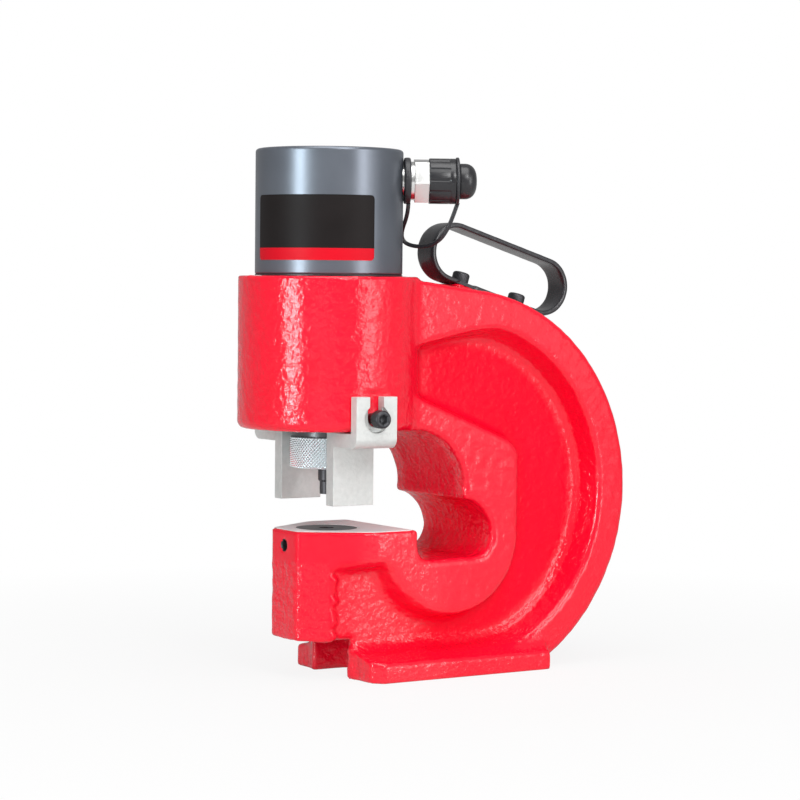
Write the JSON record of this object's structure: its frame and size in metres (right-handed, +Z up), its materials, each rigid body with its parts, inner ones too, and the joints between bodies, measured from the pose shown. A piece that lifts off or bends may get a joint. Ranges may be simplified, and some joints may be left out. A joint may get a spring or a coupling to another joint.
{
  "type": "hydraulic hole punch",
  "caption": "Portable hydraulic C-frame hole punch: red cast frame with lobed throat, grey cylinder, spring-return ram, punch and die, plated strippers, quick coupler and carrying handle",
  "frame": {"origin": "middle of the bounding box on the plane under the foot", "axes": "+Z up along the punch axis, -X to the open jaw and nose, -Y to the side with the coupler"},
  "size_m": [0.305, 0.1646, 0.3859],
  "materials": {
    "red_paint": "glossy red enamel over a rough casting",
    "grey_cylinder": "satin dark grey",
    "black_rubber": "matt rubber",
    "ram_steel": "ground and hard-chromed",
    "ring_plastic": "filled plastic",
    "spring_steel": "bare spring wire",
    "bush_bronze": "turned bronze",
    "tool_steel": "hardened and blackened",
    "black_steel": "blackened steel",
    "zinc_plate": "bright zinc plate",
    "bright_plate": "bright nickel plate",
    "poppet_brass": "turned brass",
    "black_plastic": "moulded black plastic"
  },
  "bodies": {
    "frame": {"casting_body": "red_paint", "cylinder": "grey_cylinder", "cylinder_o_ring": "black_rubber", "rod_guide_bush": "bush_bronze", "rod_wiper": "black_rubber", "return_spring": "spring_steel", "die": "tool_steel", "die_set_screw": "black_steel", "stripper_screws": "black_steel", "coupler_nipple": "bright_plate", "coupler_seal": "black_rubber", "coupler_poppet_spring": "spring_steel", "neck_ring": "black_rubber", "cap_tether": "black_rubber", "handle_strap": "black_steel", "handle_rubber": "black_rubber", "handle_screws": "black_steel"},
    "ram": {"piston_ram": "ram_steel", "piston_seal": "black_rubber", "piston_backup_ring": "ring_plastic", "piston_guide_ring": "ring_plastic", "punch": "tool_steel"},
    "nut": {"punch_nut": "zinc_plate"},
    "stripper_a": {"stripper_near": "zinc_plate"},
    "stripper_b": {"stripper_far": "zinc_plate"},
    "cap": {"dust_cap": "black_plastic", "cap_ring": "black_rubber"},
    "poppet": {"coupler_poppet": "poppet_brass"}
  },
  "joints": [
    {"name": "ram_stroke", "type": "slide", "parent": "frame", "child": "ram", "axis": [0, 0, -1], "range_m": [0, 0.029], "stiffness_N_per_m": 15000, "springref_m": -0.03, "deforming": ["return_spring"]},
    {"name": "nut_turn", "type": "hinge", "parent": "ram", "child": "nut", "pos_m": [-0.0865, 0, 0.165], "axis": [0, 0, 1], "continuous": true},
    {"name": "stripper_near_drop", "type": "slide", "parent": "frame", "child": "stripper_a", "axis": [0, 0, -1], "range_m": [0, 0.014]},
    {"name": "stripper_far_drop", "type": "slide", "parent": "frame", "child": "stripper_b", "axis": [0, 0, -1], "range_m": [0, 0.014]},
    {"name": "cap_pull", "type": "slide", "parent": "frame", "child": "cap", "axis": [0.866, -0.5, 0], "range_m": [0, 0.024]},
    {"name": "poppet_press", "type": "slide", "parent": "frame", "child": "poppet", "axis": [-0.866, 0.5, 0], "range_m": [0, 0.003], "stiffness_N_per_m": 2000, "springref_m": -0.004, "deforming": ["coupler_poppet_spring"]}
  ]
}
